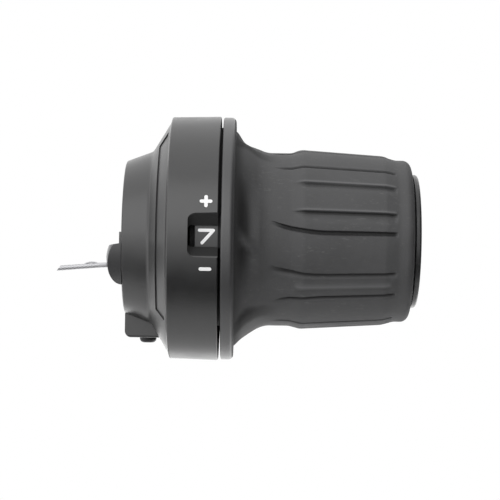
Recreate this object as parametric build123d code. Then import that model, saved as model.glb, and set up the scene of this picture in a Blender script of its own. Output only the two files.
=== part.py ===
"""Twist grip shifter for a bicycle handlebar, in millimetres, +X along the bar, +Z up.

The origin lies on the bar axis at the housing's inboard end face and the gear window faces -Y.
Angles round the bar are counted from -Y, upward positive.
"""

import os
from math import asin, atan, cos, degrees, hypot, radians, sin

from build123d import *

# Bar and the tubes round it, from the bar outward
bar_diameter = 22.2
clamp_clearance = 0.05
sleeve_clearance = 0.35
sleeve_wall = 1.0
running_clearance = 0.06
press_clearance = 0.02
core_wall = 3.0
cut_past = 1.0

# Housing
barrel_wall = 6.3
barrel_flare = 2.3
barrel_length = 6.05
cone_length = 4.4
cone_wall = 2.2
drum_length = 11.0
end_wall = 1.8
clamp_length = 7.6
hub_wall = 5.8
panel_depth = 0.25
panel_top = 64.0
panel_bottom = -46.0
panel_margin = 0.42
panel_foot_margin = 0.07
barrel_round = 0.5
cone_round = 1.5
shoulder_round = 0.35

# Winding spool, number strip and drum, from the wire outward
cable_diameter = 1.1
spool_wall = 1.15
cable_play = 0.03
index_height = 7.8
index_width = 3.4
spool_gap = 0.2
strip_gap = 1.2
strip_thickness = 2.2
drum_clearance = 0.5
drum_wall = 1.7
drum_draft = 0.28
shoulder_step = 1.2
rim_chamfer = 0.15

# Gears
gear_count = 7
click_angle = 12.5
strip_length = 5.7
pad_slot = 0.7
pad_root = 1.0
pad_round = 0.3
peg_diameter = 1.6
peg_shares = (0.15, 0.5, 0.85)
notch_radius = 1.0
notch_rise = 0.35

# Window, as the angles it takes outside and inside the drum wall
window_angle = 20.2
window_inner_top = 4.7
window_inner_bottom = 5.7
window_past = 0.3
window_length = 6.5
window_corner = 1.75

# Grip, its pattern repeated round the bar in equal blocks
block_count = 3
rim_gap = 0.6
flange_thickness = 2.2
flange_overhang = 0.1
flange_round = 1.2
disc_thickness = 1.3
disc_margin = 0.1
flange_face = 2.6
flange_edge = 0.35
flange_foot = 0.5
flare_length = 6.9
flare_round = 6.0
grip_length = 40.5
rib_height = 0.8
rib_angle = 6.0
rib_root = 0.5
rib_count = 6
waist_rubber = 4.3
waist_length = 6.3
pad_start = 8.9
pad_height = 0.65
pad_taper = 1.15
pad_end = 6.4
swell_round = 4.0
collar_length = 3.4
collar_drop = 0.8
end_round = 1.8
groove_radius = 0.55
groove_angles = (52.0, 37.0, 16.5, 4.0, -23.5, -40.0)
groove_turns = (2.0, None, None, 3.5, 4.5, -6.0)
groove_lead = 2.9
groove_bend = 12.0
groove_run_out = 2.0
groove_rise = 0.1
hollow_angles = (24.0, -29.0)
hollow_radii = (2.4, 4.0)
hollow_depths = (0.65, 1.6)
hollow_sweeps = (22.0, 30.0)
hollow_margin = 0.45

# Outer end
end_gap = 0.35
retainer_thickness = 1.3
retainer_wall = 2.85
retainer_edge = 0.25
retainer_round = 0.6
sleeve_round = 0.3
washer_thickness = 0.5
washer_dish = 0.4
washer_gap = 0.05
washer_margin = 0.3
thrust_thickness = 0.6
ring_thickness = 0.7
ring_depth = 0.5
ring_height = 1.6
ring_opening = 50.0

# Path of the wire
outlet_drop = 6.6
bend_radius = 5.0
wrap_angle = 30.0
nipple_diameter = 4.0
nipple_length = 4.0
nipple_lead = 3.5
stub_length = 9.95
stub_tilt = 5.0
stub_bend = 20.0
stub_lead = 0.6
guide_play = 0.15
guide_margin = 2.2
liner_wall = 0.4

# Cable outlet on the inboard face
outlet_plate = 0.45
plate_top = 2.4
outlet_height = 3.45
outlet_reach = 5.6
outlet_centre_rise = 1.3
outlet_top_rise = 4.85
outlet_top_slope = 9.5
outlet_margin = 0.4
casing_socket = 4.2
socket_depth = 2.2

# Clamp ears and their screw
screw_diameter = 4.0
screw_x = 4.41
screw_length = 20.0
screw_head_diameter = 7.0
screw_head_height = 4.0
screw_play = 0.2
screw_washer_thickness = 0.8
screw_key = 3.0
key_depth = 2.0
nut_width = 7.0
nut_thickness = 3.2
nut_play = 0.1
ear_wall = 1.0
ear_front = -1.0
head_depth = 4.7
upper_ear = 2.8
slit_width = 1.2
tip_length = 1.7
tip_round = 1.0
ear_round = 1.0
ear_foot_round = 1.5

# Small screws that hold the spool to the core
spool_screw_count = 3
spool_screw_start = 60.0
spool_screw_diameter = 2.2
spool_screw_head = 3.8
spool_screw_head_height = 1.5
spool_screw_bite = 3.0

# Leaf spring at the back of the drum
spring_thickness = 0.4
spring_half_angle = 28.0
spring_rise = 2.0
spring_play = 0.15
seat_angle = 5.0
seat_height = 1.8
seat_root = 0.5
nose_half_angle = 5.0
nose_round = 0.7

# Radii from the bar outward
bore_radius = bar_diameter / 2 + clamp_clearance
sleeve_bore = bar_diameter / 2 + sleeve_clearance
sleeve_radius = sleeve_bore + sleeve_wall
socket_radius = sleeve_radius + press_clearance
turning_bore = sleeve_radius + running_clearance
core_radius = turning_bore + core_wall
waist_radius = core_radius + waist_rubber
barrel_radius = bore_radius + barrel_wall
barrel_root = barrel_radius + barrel_flare
hub_radius = sleeve_radius + hub_wall
cable_radius = cable_diameter / 2
seat_radius = turning_bore + spool_wall
cable_path = seat_radius + cable_radius + cable_play
index_radius = cable_path + index_height
strip_inner = index_radius + strip_gap
strip_outer = strip_inner + strip_thickness
disc_radius = strip_outer + disc_margin
drum_bore = strip_outer + drum_clearance
drum_radius = drum_bore + drum_wall
flange_radius = drum_radius + flange_overhang
flare_top = flange_radius - flange_face
spool_boss = index_radius - 2 * notch_radius
screw_circle = (seat_radius + index_radius) / 2

# Places along the bar
x_drum = barrel_length + cone_length
x_rim = x_drum + drum_length
x_wall = x_drum + end_wall
x_flange = x_rim + rim_gap
x_flare = x_flange + flange_thickness
x_waist = x_flare + flare_length
x_pads = x_waist + pad_start
x_end = x_flare + grip_length
x_pads_end = x_end - pad_end
x_retainer = x_end + end_gap
x_sleeve_end = x_retainer + retainer_thickness
x_ring = x_end - ring_thickness
x_thrust = x_ring - washer_thickness - washer_dish - washer_gap
x_core_end = x_thrust - thrust_thickness
x_wire = x_wall + nipple_diameter / 2 + 2 * spool_gap
x_index = x_wire + cable_radius + spool_gap / 2
x_strip = x_flange - strip_length

# The wire runs along the bar at axial_radius, bends and meets the spool at touch_angle.
axial_radius = hypot(cable_path, bend_radius)
axial_angle = -degrees(asin(outlet_drop / axial_radius))
touch_angle = axial_angle - degrees(atan(bend_radius / cable_path))
anchor_angle = touch_angle - wrap_angle
liner_radius = cable_radius + guide_play + liner_wall
x_guide = x_wire - bend_radius - guide_margin / 2

# Clamp screw, upright behind the bar
screw_y = bore_radius + ear_wall + screw_head_diameter / 2 + screw_play
ear_back = screw_y + screw_head_diameter / 2 + screw_play + ear_wall
tip_z = -head_depth - screw_length
ear_bottom = tip_z + tip_length
recess_floor = -head_depth - screw_washer_thickness
slit_top = recess_floor - upper_ear
nut_top = slit_top - slit_width - upper_ear - screw_washer_thickness


def at(radius, angle, x=0.0):
    """Point at a radius and an angle round the bar."""
    return Vector(x, -radius * cos(radians(angle)), radius * sin(radians(angle)))


def turning(angle):
    """Direction in which the grip's surface moves at an angle when the grip is turned."""
    return Vector(0, -sin(radians(angle)), -cos(radians(angle)))


def outline(corners):
    """Face in (x, radius) from corners, each with an optional rounding radius."""
    points = [corner[:2] for corner in corners]
    rounds = [corner[2] if len(corner) > 2 else 0 for corner in corners]
    return Plane.XZ * make_face(FilletPolyline(*points, radius=rounds, close=True))


def turned(*corners):
    """Solid of revolution about the bar."""
    return revolve(outline(corners), Axis.X)


def sector(top, bottom, *corners):
    """Part of a turned solid from a top angle down to a bottom angle."""
    return Rot(90 - top, 0, 0) * revolve(outline(corners), Axis.X, top - bottom)


def rod(start, end, radius):
    """Round bar between two points."""
    axis = end - start
    return extrude(Plane(origin=start, z_dir=axis) * Circle(radius), axis.length)


def block(low, high):
    """Box between two corners."""
    low, high = Vector(*low), Vector(*high)
    size = high - low
    return Pos(*((low + high) * 0.5)) * Box(size.X, size.Y, size.Z)


def bend():
    """Arc that turns the wire from the spool's tangent to the bar's direction."""
    touch = at(cable_path, touch_angle, x_wire)
    centre = touch - Vector(bend_radius, 0, 0)
    back = turning(touch_angle) * -1
    middle = centre + (back + Vector(1, 0, 0)).normalized() * bend_radius
    return ThreePointArc(touch, middle, centre + back * bend_radius)


def tube(edges, radius):
    """Round section carried along a smooth chain of edges."""
    path = Wire(edges)
    return sweep(Plane(origin=path @ 0, z_dir=path % 0) * Circle(radius), path)


def wire_channel():
    """Passage for the wire through the guide, the housing and the outlet."""
    arc = bend()
    exit_point = Vector(-outlet_height - cut_past, (arc @ 1).Y, (arc @ 1).Z)
    return tube([arc, Line(arc @ 1, exit_point)], cable_radius + guide_play)


def shift_cable():
    """Wire from the nipple round the spool, through the bend and out of the inboard face."""
    anchor = at(cable_path, anchor_angle, x_wire)
    middle = at(cable_path, (anchor_angle + touch_angle) / 2, x_wire)
    start = anchor + turning(anchor_angle) * nipple_lead
    arc = bend()
    lip = Vector(-outlet_height - stub_lead, (arc @ 1).Y, (arc @ 1).Z)
    drop = Vector(-cos(radians(stub_tilt)), 0, -sin(radians(stub_tilt)))
    tail = FilletPolyline(arc @ 1, lip, lip + drop * stub_length, radius=stub_bend)
    wrap = [Line(start, anchor), ThreePointArc(anchor, middle, arc @ 0)]
    return tube(wrap + [arc] + list(tail.edges()), cable_radius)


def cable_liner():
    """Thin tube for the wire through the barrel wall."""
    hole = at(axial_radius, axial_angle)
    body = rod(hole, at(axial_radius, axial_angle, x_guide), liner_radius)
    return body - wire_channel()


def cable_nipple():
    """Cast cylinder at the wire's end."""
    anchor = at(cable_path, anchor_angle, x_wire)
    way = turning(anchor_angle)
    start = anchor + way * (nipple_lead + cable_play)
    return rod(start, start + way * nipple_length, nipple_diameter / 2)


def guide_block(play, x_top):
    """Block round the bend, set square to the tangent on which the wire reaches the spool."""
    x_bottom = x_guide - play
    inward = cable_path - socket_radius - outlet_margin + play
    width = bend_radius + guide_margin - spool_gap + play
    corner = at(cable_path, touch_angle, x_bottom)
    seat = Plane(origin=corner, x_dir=turning(touch_angle), z_dir=(1, 0, 0))
    height = x_top - x_bottom
    middle = Pos(-spool_gap - width / 2 + play, (inward - guide_margin - play) / 2, height / 2)
    return seat * middle * Box(width + play, inward + guide_margin + play, height)


def cable_guide():
    """Insert in the hub that holds the bend of the wire."""
    return guide_block(0, x_wall) - wire_channel()


def cable_outlet():
    """Domed boss with a casing socket on a thin plate, on the inboard face."""
    hole = at(axial_radius, axial_angle)
    centre = outlet_centre_rise - outlet_drop
    upper = Pos(0, outlet_reach / 2) * Rectangle(3 * outlet_height, outlet_reach)
    half = Ellipse(outlet_height, outlet_reach) & upper
    dome = Pos(0, hole.Y, centre) * revolve(half, Axis.X)
    top = Pos(0, outlet_top_rise - outlet_drop) * Rot(0, 0, outlet_top_slope)
    below = top * Rectangle(6 * outlet_height, 4 * outlet_reach, align=(Align.CENTER, Align.MAX))
    below = extrude(Plane.XZ * below, 2 * barrel_radius)
    shell = turned(
        (-outlet_height - cut_past, bore_radius + outlet_margin),
        (-outlet_height - cut_past, barrel_radius),
        (0, barrel_radius),
        (0, bore_radius + outlet_margin),
    )
    low = degrees(asin((outlet_reach - centre) / barrel_radius))
    plate = sector(
        plate_top,
        -low,
        (-outlet_plate, bore_radius + outlet_margin),
        (-outlet_plate, barrel_radius - outlet_margin),
        (0, barrel_radius - outlet_margin),
        (0, bore_radius + outlet_margin),
    )
    mouth = hole - Vector(outlet_height + cut_past, 0, 0)
    socket = rod(mouth, hole - Vector(outlet_height - socket_depth, 0, 0), casing_socket / 2)
    return (dome & below & shell) + plate - socket - wire_channel()


def window_outline(share):
    """Window in an upright plane, at a share of the way from the drum's outside to its inside."""
    outside = drum_radius + drum_draft
    top = at(outside, window_angle / 2) * (1 - share) + at(drum_bore, window_inner_top) * share
    bottom = at(outside, -window_angle / 2) * (1 - share) + at(drum_bore, -window_inner_bottom) * share
    corner = window_corner * (1 - share / 2)
    line = FilletPolyline(
        (x_rim + cut_past, top.Z),
        (x_rim - window_length, top.Z),
        (x_rim - window_length, bottom.Z),
        (x_rim + cut_past, bottom.Z),
        radius=[0, corner, corner, 0],
        close=True,
    )
    return Plane.XZ.offset(-top.Y) * make_face(line)


def window_cutter():
    """Notch open to the rim, with sloping upper and lower walls and rounded inner corners."""
    return loft([window_outline(-1.0), window_outline(1.0 + window_past)], ruled=True)


def ears():
    """Two clamp ears behind and below the barrel, before the slit is cut."""
    shape = FilletPolyline(
        (ear_front, 0),
        (ear_back, 0),
        (ear_back, ear_bottom),
        (ear_front, ear_bottom),
        radius=[0, 2 * ear_round, 3 * ear_round, ear_round / 2],
        close=True,
    )
    side = FilletPolyline(
        (0, 0),
        (0, ear_bottom),
        (x_drum, ear_bottom),
        (x_drum, 0),
        radius=[0, ear_foot_round, 0, 0],
        close=True,
    )
    body = extrude(Plane.YZ * make_face(shape), x_drum)
    return body & extrude(Plane.XZ * make_face(side), 2 * ear_back, both=True)


def clamp_cuts():
    """Slit, screw hole, head recess and nut pocket of the clamp ears."""
    back = ear_back + cut_past
    slit = block((-cut_past, 0, slit_top - slit_width), (clamp_length, back, slit_top))
    under = Vector(screw_x, screw_y, ear_bottom - cut_past)
    hole = rod(under, Vector(screw_x, screw_y, 0), screw_diameter / 2 + screw_play)
    floor = Vector(screw_x, screw_y, recess_floor)
    recess = rod(floor, floor + Vector(0, 0, drum_radius), screw_head_diameter / 2 + screw_play)
    half = nut_width / 2 + nut_play
    pocket = block(
        (screw_x - half, screw_y - half, nut_top - nut_thickness - nut_play),
        (screw_x + half, back, nut_top + nut_play),
    )
    return slit + hole + recess + pocket


def main_housing():
    """Clamp barrel, cone and drum shell in one moulding."""
    foot = (x_drum - shoulder_round, drum_radius - shoulder_step)
    skin = turned(
        (0, 0),
        (0, barrel_radius, barrel_round),
        (barrel_length, barrel_root, cone_round),
        (*foot, shoulder_round),
        (x_drum, drum_radius, shoulder_round),
        (x_rim - rim_chamfer, drum_radius + drum_draft),
        (x_rim, drum_radius + drum_draft - rim_chamfer),
        (x_rim, 0),
    )
    x_core = barrel_length + cone_wall
    hollow = turned(
        (-cut_past, 0),
        (-cut_past, bore_radius),
        (clamp_length, bore_radius),
        (clamp_length, socket_radius),
        (x_wall, socket_radius),
        (x_wall, hub_radius),
        (x_core, hub_radius),
        (x_core, barrel_root),
        (x_wall, drum_bore),
        (x_rim + cut_past, drum_bore),
        (x_rim + cut_past, 0),
    )
    run = Vector(foot[0] - barrel_length, foot[1] - barrel_root, 0)
    out = Vector(-run.Y, run.X, 0).normalized()
    root = Vector(barrel_length, barrel_root, 0)
    edges = [root + run * panel_margin, root + run * (1 - panel_foot_margin)]
    floor = [edge - out * panel_depth for edge in edges]
    air = [edge + out * cut_past for edge in reversed(edges)]
    panel = sector(panel_top, panel_bottom, *[(point.X, point.Y) for point in floor + air])
    body = skin + ears() - hollow - panel - window_cutter() - clamp_cuts()
    end = 180 - spring_half_angle - degrees(spring_play / drum_bore)
    seat_corners = [
        (x_wall - seat_root, drum_bore - seat_height),
        (x_wall - seat_root, drum_bore + drum_wall / 2),
        (x_index + index_width, drum_bore + drum_wall / 2),
        (x_index + index_width, drum_bore - seat_height),
    ]
    upper = sector(end, end - seat_angle, *seat_corners)
    lower = sector(360 - end + seat_angle, 360 - end, *seat_corners)
    liner_hole = rod(
        at(axial_radius, axial_angle, -cut_past),
        at(axial_radius, axial_angle, x_guide),
        liner_radius + press_clearance,
    )
    return body + upper + lower - guide_block(press_clearance, x_wall + cut_past) - liner_hole


def bearing_sleeve():
    """Tube that the grip turns on, with a groove for the retaining ring."""
    groove = sleeve_radius - ring_depth
    return turned(
        (clamp_length, sleeve_bore),
        (clamp_length, sleeve_radius),
        (x_ring - press_clearance, sleeve_radius),
        (x_ring - press_clearance, groove),
        (x_end + press_clearance, groove),
        (x_end + press_clearance, sleeve_radius),
        (x_sleeve_end, sleeve_radius, sleeve_round),
        (x_sleeve_end, sleeve_bore, sleeve_round),
    )


def retaining_ring():
    """Open spring ring in the sleeve's groove."""
    inner = sleeve_radius - ring_depth + press_clearance
    outer = sleeve_radius + ring_height
    top = 180 - ring_opening / 2
    corners = [(x_ring, inner), (x_ring, outer), (x_end, outer), (x_end, inner)]
    return sector(top, top - 360 + ring_opening, *corners)


def spring_washer():
    """Dished washer between the core's end and the retaining ring."""
    inner = sleeve_radius + 2 * running_clearance
    outer = core_radius - washer_margin
    x_low = x_ring - washer_thickness - washer_dish
    return turned(
        (x_low + washer_dish, inner),
        (x_low, outer),
        (x_low + washer_thickness, outer),
        (x_ring, inner),
    )


def thrust_washer():
    """Flat washer on the core's outer end."""
    outer = core_radius - washer_margin
    return turned(
        (x_core_end, turning_bore),
        (x_core_end, outer),
        (x_thrust, outer),
        (x_thrust, turning_bore),
    )


def end_retainer():
    """Ring that closes the grip's outer end."""
    outer = sleeve_radius + retainer_wall
    return turned(
        (x_retainer, socket_radius),
        (x_retainer, outer, retainer_edge),
        (x_sleeve_end, outer, retainer_round),
        (x_sleeve_end, socket_radius),
    )


def clamp_screw():
    """Socket head screw, upright, head on the upper ear."""
    seat = Vector(screw_x, screw_y, -head_depth)
    shank = rod(seat + Vector(0, 0, cut_past), Vector(screw_x, screw_y, tip_z), screw_diameter / 2)
    shank = fillet(shank.edges().sort_by(Axis.Z)[0], tip_round)
    head = rod(seat, seat + Vector(0, 0, screw_head_height), screw_head_diameter / 2)
    top = seat + Vector(0, 0, screw_head_height)
    key = Plane(origin=top) * RegularPolygon(screw_key / 2, 6, major_radius=False)
    return head + shank - extrude(key, -key_depth)


def screw_washer():
    """Flat washer under the clamp screw's head."""
    centre = Pos(screw_x, screw_y, -head_depth - screw_washer_thickness / 2)
    ring = Cylinder(screw_head_diameter / 2, screw_washer_thickness)
    return centre * (ring - Cylinder(screw_diameter / 2 + screw_play / 2, 2 * screw_washer_thickness))


def clamp_nut():
    """Square nut in the lower ear."""
    centre = Pos(screw_x, screw_y, nut_top - nut_thickness / 2)
    body = Box(nut_width, nut_width, nut_thickness)
    return centre * (body - Cylinder(screw_diameter / 2 + press_clearance, 2 * nut_thickness))


def detent_spring():
    """Leaf spring bent to a nose that rests in a notch of the spool."""
    end_radius = drum_bore - spring_thickness / 2 - spring_play
    nose_radius = index_radius + notch_rise - notch_radius + spring_thickness / 2 + spring_play / 3
    steps = [
        (end_radius, 180 - spring_half_angle),
        (nose_radius + spring_rise, 180 - nose_half_angle),
        (nose_radius, 180),
        (nose_radius + spring_rise, 180 + nose_half_angle),
        (end_radius, 180 + spring_half_angle),
    ]
    points = [at(radius, angle) for radius, angle in steps]
    line = FilletPolyline(*[(point.Y, point.Z) for point in points], radius=nose_round)
    start = Plane.YZ.offset(x_index + spool_gap)
    return extrude(start * trace(line, spring_thickness), index_width - 2 * spool_gap)


def core_blank():
    """Core tube with flange, cone and keying ribs, before its holes are made."""
    body = turned(
        (x_flange, turning_bore),
        (x_flange, disc_radius),
        (x_flange + disc_thickness, disc_radius),
        (x_flange + 2 * disc_thickness, waist_radius),
        (x_waist, core_radius),
        (x_core_end, core_radius),
        (x_core_end, turning_bore),
    )
    rib = [
        (x_waist, core_radius - rib_root),
        (x_waist, core_radius + rib_height),
        (x_core_end - end_round, core_radius + rib_height),
        (x_core_end - end_round, core_radius - rib_root),
    ]
    for number in range(rib_count):
        middle = number * 360 / rib_count
        body += sector(middle + rib_angle / 2, middle - rib_angle / 2, *rib)
    return body


def peg_places():
    """Angles of the strip's locating pegs, under the second, middle and last but one pads."""
    return [click_angle * (gear_count - 1) * share for share in peg_shares]


def screw_places():
    """Angles of the screws between spool and core."""
    step = 360 / spool_screw_count
    return [spool_screw_start + step * number for number in range(spool_screw_count)]


def grip_core():
    """Tube that carries the rubber, the strip and the spool."""
    body = core_blank()
    middle = (strip_inner + strip_outer) / 2
    for angle in peg_places():
        start = at(middle, angle, x_flange - cut_past)
        end = at(middle, angle, x_flange + disc_thickness)
        body -= rod(start, end, peg_diameter / 2 + press_clearance)
    for angle in screw_places():
        start = at(screw_circle, angle, x_flange - cut_past)
        end = at(screw_circle, angle, x_flange + spool_screw_bite)
        body -= rod(start, end, spool_screw_diameter / 2 + press_clearance)
    return body


def pad_line(x):
    """Radius of the pads' straight taper."""
    return waist_radius + pad_height - pad_taper * (x - x_pads) / (x_pads_end - x_pads)


def groove(angle, lead_turn):
    """Lengthwise groove, led into the waist on a turned start when lead_turn is given."""
    x_last = x_end - collar_length
    last = at(pad_line(x_last), angle, x_last)
    if lead_turn is None:
        x_first = x_pads - groove_run_out
        return rod(at(pad_line(x_first), angle, x_first), last, groove_radius)
    lead = at(waist_radius - groove_rise, angle + lead_turn, x_waist + groove_lead)
    path = FilletPolyline(lead, at(pad_line(x_pads), angle, x_pads), last, radius=groove_bend)
    return tube(list(path.edges()), groove_radius)


def hollow(angle, radius, depth, sweep):
    """Round hollow cut to a depth in the flare between two ridges, with ball ends."""
    run = Vector(flare_length, waist_radius - flare_top, 0)
    out = Vector(-run.Y, run.X, 0).normalized()
    x_middle = x_flare + hollow_margin + radius
    middle = flare_top + (radius - depth - (x_middle - x_flare) * out.X) / out.Y
    ring = Plane.XZ * (Pos(x_middle, middle) * Circle(radius))
    body = Rot(90 - angle - sweep / 2, 0, 0) * revolve(ring, Axis.X, sweep)
    for end in (angle - sweep / 2, angle + sweep / 2):
        body += Pos(*at(middle, end, x_middle)) * Sphere(radius)
    return body


def grip_rubber():
    """Rubber skin with flange, scalloped flare, waist, grooved pads and rounded end."""
    collar = pad_line(x_pads_end) - collar_drop
    body = turned(
        (x_flange, core_radius),
        (x_flange, flange_radius, flange_edge),
        (x_flare, flange_radius, flange_round),
        (x_flare, flare_top, flange_foot),
        (x_waist, waist_radius, flare_round),
        (x_waist + waist_length, waist_radius, swell_round),
        (x_pads, pad_line(x_pads), swell_round),
        (x_pads_end, pad_line(x_pads_end), swell_round),
        (x_end - collar_length, collar, swell_round),
        (x_end, collar, end_round),
        (x_end, core_radius),
    )
    cuts = [core_blank()]
    for number in range(block_count):
        block_start = 360 * number / block_count
        for angle, radius, depth, sweep in zip(hollow_angles, hollow_radii, hollow_depths, hollow_sweeps):
            cuts.append(hollow(block_start + angle, radius, depth, sweep))
        for angle, lead_turn in zip(groove_angles, groove_turns):
            cuts.append(groove(block_start + angle, lead_turn))
    return body - cuts


def gear_indicator():
    """Arc strip of number pads, joined by a root along the flange."""
    top = click_angle * (gear_count - 0.5)
    body = sector(
        top,
        -click_angle / 2,
        (x_strip, strip_inner),
        (x_strip, strip_outer, pad_round),
        (x_flange, strip_outer),
        (x_flange, strip_inner),
    )
    x_root = x_flange - pad_root
    half = pad_slot / 2
    outside = -strip_outer - cut_past
    inside = -strip_inner + cut_past
    slot = block((x_strip - cut_past, outside, -half), (x_root, inside, half))
    slot += rod(Vector(x_root, outside, 0), Vector(x_root, inside, 0), half)
    for number in range(gear_count - 1):
        body -= Rot(-click_angle * (number + 0.5), 0, 0) * slot
    middle = (strip_inner + strip_outer) / 2
    for angle in peg_places():
        start = at(middle, angle, x_flange - pad_root / 2)
        body += rod(start, at(middle, angle, x_flange + disc_thickness), peg_diameter / 2)
    return body


def cable_spool():
    """Winding seat, notched rim and drive hub in one piece."""
    body = turned(
        (x_wall + spool_gap, turning_bore),
        (x_wall + spool_gap, seat_radius),
        (x_index, seat_radius),
        (x_index, index_radius),
        (x_index + index_width, index_radius),
        (x_index + index_width, spool_boss),
        (x_flange, spool_boss),
        (x_flange, turning_bore),
    )
    for number in range(gear_count):
        angle = 180 + click_angle * number
        start = at(index_radius + notch_rise, angle, x_index - cut_past)
        end = at(index_radius + notch_rise, angle, x_index + index_width + cut_past)
        body -= rod(start, end, notch_radius)
    anchor = at(cable_path, anchor_angle, x_wire)
    way = turning(anchor_angle)
    first = anchor + way * (nipple_lead - press_clearance)
    last = anchor + way * (nipple_lead + nipple_length + cable_play + press_clearance)
    body -= rod(first, last, nipple_diameter / 2 + press_clearance)
    for angle in screw_places():
        start = at(screw_circle, angle, x_index - cut_past)
        neck = at(screw_circle, angle, x_index + spool_screw_head_height)
        end = at(screw_circle, angle, x_flange + cut_past)
        body -= rod(start, neck, spool_screw_head / 2 + screw_play)
        body -= rod(start, end, spool_screw_diameter / 2 + press_clearance)
    return body


def spool_screws():
    """Pan head screws through the spool into the core."""
    screws = []
    for angle in screw_places():
        start = at(screw_circle, angle, x_index)
        neck = start + Vector(spool_screw_head_height, 0, 0)
        head = rod(start, neck, spool_screw_head / 2)
        shank = rod(neck, at(screw_circle, angle, x_flange + spool_screw_bite), spool_screw_diameter / 2)
        screws.append(head + shank)
    return Compound(children=screws)


os.makedirs("parts", exist_ok=True)
pieces = [
    main_housing,
    bearing_sleeve,
    clamp_screw,
    screw_washer,
    clamp_nut,
    cable_outlet,
    cable_liner,
    cable_guide,
    shift_cable,
    cable_nipple,
    detent_spring,
    retaining_ring,
    spring_washer,
    thrust_washer,
    end_retainer,
    grip_core,
    grip_rubber,
    gear_indicator,
    cable_spool,
    spool_screws,
]
for piece in pieces:
    export_step(piece(), f"parts/{piece.__name__}.step")
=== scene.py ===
# %% [markdown]
# # A twist grip shifter for a bicycle
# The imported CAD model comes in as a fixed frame: its pieces already stand where they belong, in metres.
# This lesson gives them their finish, and makes what a solid model leaves out: the soft relief of the
# rubber, the printed numbers and signs, the strands of the wire and the thread of the clamp screw.
# Lengths are written in millimetres and angles in degrees. MM turns a length into Blender's metres.

# %% Load the frame
import math

import bmesh
import bpy
import numpy as np
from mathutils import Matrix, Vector


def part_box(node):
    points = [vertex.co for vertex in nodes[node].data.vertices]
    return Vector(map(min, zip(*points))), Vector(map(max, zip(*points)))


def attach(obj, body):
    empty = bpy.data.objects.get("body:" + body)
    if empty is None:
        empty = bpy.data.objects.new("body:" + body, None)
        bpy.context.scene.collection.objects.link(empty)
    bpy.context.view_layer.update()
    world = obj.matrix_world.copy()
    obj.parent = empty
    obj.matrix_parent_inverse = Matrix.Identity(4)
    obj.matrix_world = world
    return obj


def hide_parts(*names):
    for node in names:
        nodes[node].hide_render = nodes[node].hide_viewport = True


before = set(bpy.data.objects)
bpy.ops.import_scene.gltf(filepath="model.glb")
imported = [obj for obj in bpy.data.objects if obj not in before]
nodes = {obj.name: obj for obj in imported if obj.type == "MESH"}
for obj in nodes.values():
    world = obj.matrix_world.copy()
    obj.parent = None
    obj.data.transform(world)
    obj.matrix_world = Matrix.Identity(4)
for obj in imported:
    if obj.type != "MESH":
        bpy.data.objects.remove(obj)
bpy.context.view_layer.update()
scene = bpy.context.scene
MM = 0.001
print("pieces in the frame:", len(nodes))

# %% [markdown]
# ## Camera
# The photo was taken square to the bar, from slightly below it, with a long lens and a slight roll. The
# distance follows from how much larger the near surfaces look than the outline. The lens is then worked
# out from the width that the view spans at the bar.

# %% Camera
view_distance = 391.0
view_width = 115.0
view_x = 28.41
view_low = 1.45
view_shift = 2.54
view_roll = 0.9
optics = bpy.data.cameras.new("photo_camera")
optics.sensor_width = 36.0
optics.lens = optics.sensor_width * view_distance / view_width
optics.clip_start = 0.01
camera = bpy.data.objects.new("photo_camera", optics)
scene.collection.objects.link(camera)
low = math.radians(view_low)
aim = Vector((view_x, 0.0, -view_shift)) * MM
eye = Vector((view_x, -view_distance * math.cos(low), -view_distance * math.sin(low))) * MM
camera.location = eye
camera.rotation_euler = (aim - eye).to_track_quat("-Z", "Y").to_euler()
camera.rotation_euler.rotate_axis("Z", math.radians(view_roll))
scene.camera = camera
scene.view_settings.view_transform = "Standard"
print("lens in mm:", round(optics.lens, 1))

# %% [markdown]
# ## Surround
# Product photos of this kind stand in a white surround. What the part reflects and is lit by is a studio:
# white all over, but for two dark openings. A wide one low in front, below the camera, gives the round
# forms their dark lower band. One on the right shades the grip's side of the flange. Lamps alone can't do
# this, because a lamp only adds light. An opening has a direction, a squeeze that widens it along an axis,
# the cosines where its shade starts and is full, and the share of light that is left there.

# %% Studio walls
studio_level = 1.15
openings = (
    {"way": (0.0, -0.574, -0.819), "squeeze": (0.45, 1.0, 1.0), "edge": 0.7, "core": 1.0, "level": 0.05},
    {"way": (1.0, 0.0, 0.0), "squeeze": (1.0, 1.0, 1.0), "edge": 0.3, "core": 0.85, "level": 0.02},
)
world = bpy.data.worlds.new("white_surround")
scene.world = world
world.use_nodes = True
tree = world.node_tree
tree.nodes.clear()
look = tree.nodes.new("ShaderNodeTexCoord")
walls = tree.nodes.new("ShaderNodeMath")
walls.operation = "MULTIPLY"
for number, opening in enumerate(openings):
    squeeze = tree.nodes.new("ShaderNodeVectorMath")
    squeeze.operation = "MULTIPLY"
    squeeze.inputs[1].default_value = opening["squeeze"]
    tree.links.new(look.outputs["Generated"], squeeze.inputs[0])
    even = tree.nodes.new("ShaderNodeVectorMath")
    even.operation = "NORMALIZE"
    tree.links.new(squeeze.outputs["Vector"], even.inputs[0])
    facing = tree.nodes.new("ShaderNodeVectorMath")
    facing.operation = "DOT_PRODUCT"
    facing.inputs[1].default_value = opening["way"]
    tree.links.new(even.outputs["Vector"], facing.inputs[0])
    shade = tree.nodes.new("ShaderNodeMapRange")
    shade.interpolation_type = "SMOOTHSTEP"
    shade.inputs["From Min"].default_value = opening["edge"]
    shade.inputs["From Max"].default_value = opening["core"]
    shade.inputs["To Min"].default_value = 1.0
    shade.inputs["To Max"].default_value = opening["level"]
    tree.links.new(facing.outputs["Value"], shade.inputs["Value"])
    tree.links.new(shade.outputs["Result"], walls.inputs[number])
studio = tree.nodes.new("ShaderNodeBackground")
studio.inputs["Strength"].default_value = studio_level
tree.links.new(walls.outputs[0], studio.inputs["Color"])
print("studio level:", studio_level)

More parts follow.
